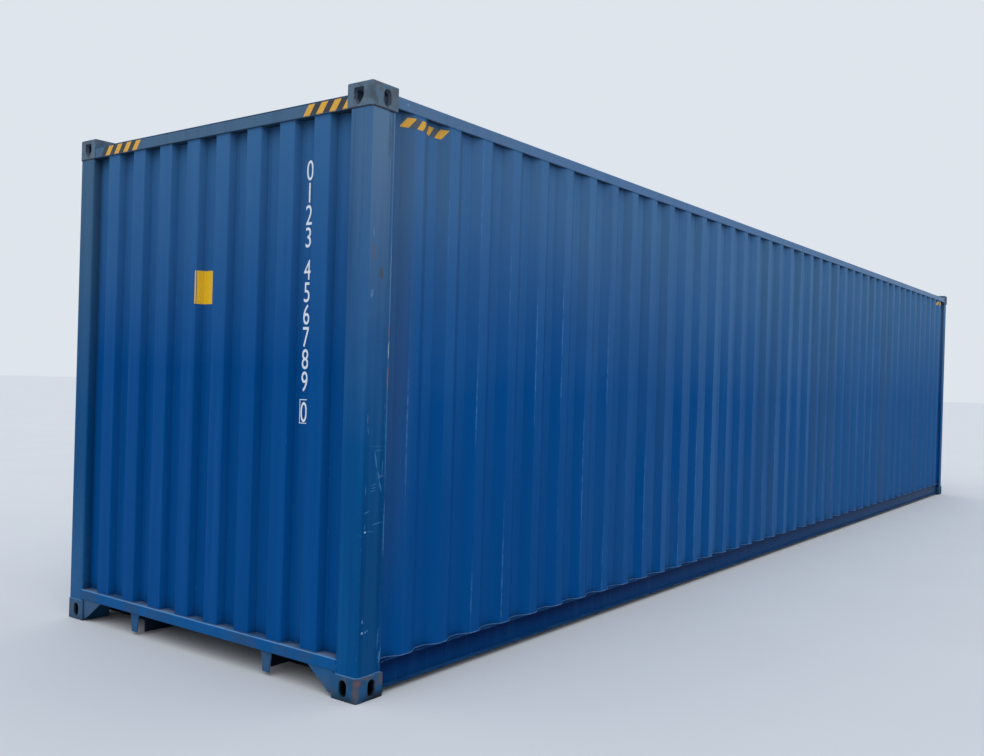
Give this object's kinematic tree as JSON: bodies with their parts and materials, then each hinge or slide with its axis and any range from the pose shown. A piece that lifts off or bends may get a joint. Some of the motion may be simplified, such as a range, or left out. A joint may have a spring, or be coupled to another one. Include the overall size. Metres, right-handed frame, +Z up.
{
  "type": "shipping container",
  "caption": "High-cube steel shipping container with corrugated walls, corner castings, timber floor and closed cargo doors.",
  "frame": {"origin": "middle of the container's footprint, on the plane under the bottom castings", "axes": "+Z up, +X along the length towards the door end, +Y across the width towards the left side"},
  "size_m": [12.192, 2.438, 2.896],
  "materials": {
    "casting_steel": "painted, worn, rust patches",
    "frame_paint": "satin, faded",
    "wall_paint": "satin, faded",
    "roof_paint": "satin, faded",
    "underframe_paint": "dull",
    "floor_wood": "oiled boards",
    "gasket_rubber": "matt",
    "gear_steel": "galvanised"
  },
  "bodies": {
    "root": {"casting_front_right_bottom": "casting_steel", "casting_front_left_bottom": "casting_steel", "casting_rear_right_bottom": "casting_steel", "casting_rear_left_bottom": "casting_steel", "casting_front_right_top": "casting_steel", "casting_front_left_top": "casting_steel", "casting_rear_right_top": "casting_steel", "casting_rear_left_top": "casting_steel", "front_post_right": "frame_paint", "front_post_left": "frame_paint", "rear_post_right": "frame_paint", "rear_post_left": "frame_paint", "front_header": "frame_paint", "front_sill": "frame_paint", "sill_gussets": "frame_paint", "tunnel_legs": "frame_paint", "rear_header": "frame_paint", "rear_sill": "frame_paint", "top_rail_right": "frame_paint", "top_rail_left": "frame_paint", "bottom_rail_right": "frame_paint", "bottom_rail_left": "frame_paint", "front_wall": "wall_paint", "side_wall_right": "wall_paint", "side_wall_left": "wall_paint", "roof": "roof_paint", "roof_end_plates": "roof_paint", "floor_boards": "floor_wood", "floor_strip": "gear_steel", "cross_members": "underframe_paint", "gooseneck_tunnel": "underframe_paint", "tunnel_bows": "underframe_paint", "door_frame_right": "frame_paint", "door_frame_left": "frame_paint", "door_panel_right": "wall_paint", "door_panel_left": "wall_paint", "door_gasket": "gasket_rubber", "locking_bars": "gear_steel", "bar_cams": "gear_steel", "cam_keepers": "gear_steel", "bar_guides": "gear_steel", "door_handles": "gear_steel", "handle_catches": "gear_steel", "door_hinges": "frame_paint", "hinge_lugs": "frame_paint"}
  },
  "joints": []
}
